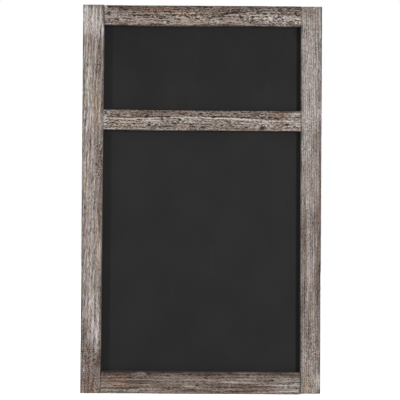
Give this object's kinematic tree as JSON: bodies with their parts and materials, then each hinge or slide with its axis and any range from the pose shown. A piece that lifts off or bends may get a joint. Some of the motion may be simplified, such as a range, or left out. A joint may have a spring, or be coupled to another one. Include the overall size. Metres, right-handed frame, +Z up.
{
  "type": "wall chalkboard",
  "caption": "Portrait wall chalkboard with a short upper board and a tall lower board in one rustic whitewashed wooden frame, with swinging hanging rings behind.",
  "frame": {"origin": "middle of the top rail's back face, in the plane that faces the wall", "axes": "+Y out of the back towards the wall, so the boards face -Y; +Z up along the stiles; +X to the right of someone who looks at the front"},
  "size_m": [0.3766, 0.0237, 0.6106],
  "materials": {
    "left_stile_wood": "brushed and whitewashed, matt",
    "right_stile_wood": "brushed and whitewashed, matt",
    "top_rail_wood": "brushed and whitewashed, matt",
    "middle_rail_wood": "brushed and whitewashed, matt",
    "bottom_rail_wood": "brushed and thinly whitewashed, matt",
    "chalk_paint": "matt black chalkboard paint on hardboard",
    "dowel_beech": "plain beech",
    "plated_steel": "zinc plated",
    "bumper_rubber": "matt black"
  },
  "bodies": {
    "frame": {"left_stile": "left_stile_wood", "right_stile": "right_stile_wood", "top_rail": "top_rail_wood", "middle_rail": "middle_rail_wood", "bottom_rail": "bottom_rail_wood", "upper_board": "chalk_paint", "lower_board": "chalk_paint", "dowel_top_left_1": "dowel_beech", "dowel_top_left_2": "dowel_beech", "dowel_top_right_1": "dowel_beech", "dowel_top_right_2": "dowel_beech", "dowel_middle_left_1": "dowel_beech", "dowel_middle_right_1": "dowel_beech", "dowel_bottom_left_1": "dowel_beech", "dowel_bottom_left_2": "dowel_beech", "dowel_bottom_right_1": "dowel_beech", "dowel_bottom_right_2": "dowel_beech", "upper_point_top_left": "plated_steel", "upper_point_top_right": "plated_steel", "upper_point_bottom_left": "plated_steel", "upper_point_bottom_right": "plated_steel", "upper_point_left_1": "plated_steel", "upper_point_right_1": "plated_steel", "lower_point_top_left": "plated_steel", "lower_point_top_right": "plated_steel", "lower_point_bottom_left": "plated_steel", "lower_point_bottom_right": "plated_steel", "lower_point_left_1": "plated_steel", "lower_point_left_2": "plated_steel", "lower_point_left_3": "plated_steel", "lower_point_right_1": "plated_steel", "lower_point_right_2": "plated_steel", "lower_point_right_3": "plated_steel", "left_hanger_strap": "plated_steel", "right_hanger_strap": "plated_steel", "left_hanger_screw_1": "plated_steel", "left_hanger_screw_2": "plated_steel", "right_hanger_screw_1": "plated_steel", "right_hanger_screw_2": "plated_steel", "left_bumper": "bumper_rubber", "right_bumper": "bumper_rubber"},
    "left_ring": {"left_hanger_ring": "plated_steel"},
    "right_ring": {"right_hanger_ring": "plated_steel"}
  },
  "joints": [
    {"name": "left_ring_hinge", "type": "hinge", "parent": "frame", "child": "left_ring", "pos_m": [-0.17555, 0.003, -0.0391], "axis": [1, 0, 0], "range_deg": [0, 185]},
    {"name": "right_ring_hinge", "type": "hinge", "parent": "frame", "child": "right_ring", "pos_m": [0.17555, 0.003, -0.0391], "axis": [1, 0, 0], "range_deg": [0, 185]}
  ]
}
